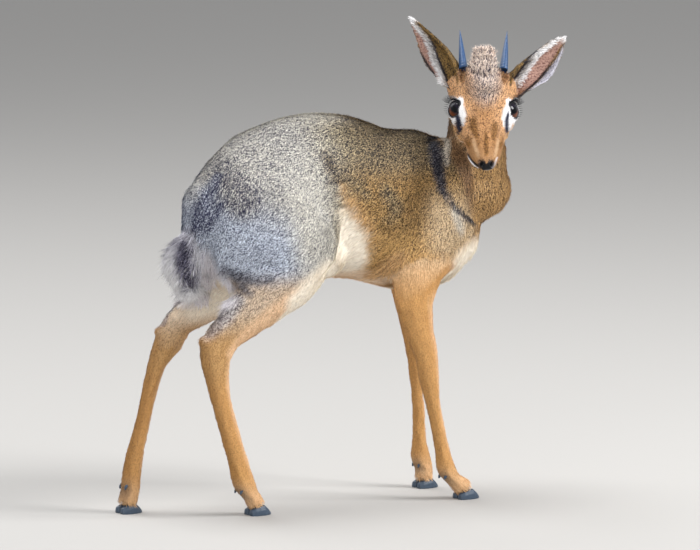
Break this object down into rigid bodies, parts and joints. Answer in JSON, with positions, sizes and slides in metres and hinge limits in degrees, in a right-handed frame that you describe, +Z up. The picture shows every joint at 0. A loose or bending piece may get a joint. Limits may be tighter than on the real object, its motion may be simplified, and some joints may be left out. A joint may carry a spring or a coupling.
{
  "type": "dik-dik antelope",
  "caption": "Life-size male dik-dik standing still, head turned back over its right shoulder, with short straight horns and a crest of hair between them.",
  "frame": {"origin": "on the floor under the middle of the bounding box", "axes": "+X from rump to chest, +Y to the animal's left, +Z up; hooves on z = 0"},
  "size_m": [0.4484, 0.1936, 0.4871],
  "materials": {
    "grizzled_coat": "short hair, salt-and-pepper grey and ochre, banded light and dark",
    "tan_coat": "short smooth hair, orange-tan",
    "nose_skin": "bare black skin, moist",
    "horn": "dark slate-grey horn, ringed near the base",
    "hoof": "dark blue-grey horn, satin",
    "eye": "wet and glossy, dark brown iris"
  },
  "bodies": {
    "root": {"trunk": "grizzled_coat", "neck": "grizzled_coat", "tail": "grizzled_coat", "head": "tan_coat", "crest": "tan_coat", "nose": "nose_skin", "ear_left": "tan_coat", "ear_right": "tan_coat", "eye_left": "eye", "eye_right": "eye", "horn_left": "horn", "horn_right": "horn", "foreleg_left": "tan_coat", "foreleg_right": "tan_coat", "fore_cannon_left": "tan_coat", "fore_cannon_right": "tan_coat", "fore_pastern_left": "tan_coat", "fore_pastern_right": "tan_coat", "hindleg_left": "tan_coat", "hindleg_right": "tan_coat", "hind_cannon_left": "tan_coat", "hind_cannon_right": "tan_coat", "hind_pastern_left": "tan_coat", "hind_pastern_right": "tan_coat", "forefoot_left_claw_left": "hoof", "forefoot_left_claw_right": "hoof", "forefoot_left_dewclaw_left": "hoof", "forefoot_left_dewclaw_right": "hoof", "forefoot_right_claw_left": "hoof", "forefoot_right_claw_right": "hoof", "forefoot_right_dewclaw_left": "hoof", "forefoot_right_dewclaw_right": "hoof", "hindfoot_left_claw_left": "hoof", "hindfoot_left_claw_right": "hoof", "hindfoot_left_dewclaw_left": "hoof", "hindfoot_left_dewclaw_right": "hoof", "hindfoot_right_claw_left": "hoof", "hindfoot_right_claw_right": "hoof", "hindfoot_right_dewclaw_left": "hoof", "hindfoot_right_dewclaw_right": "hoof"}
  },
  "joints": []
}
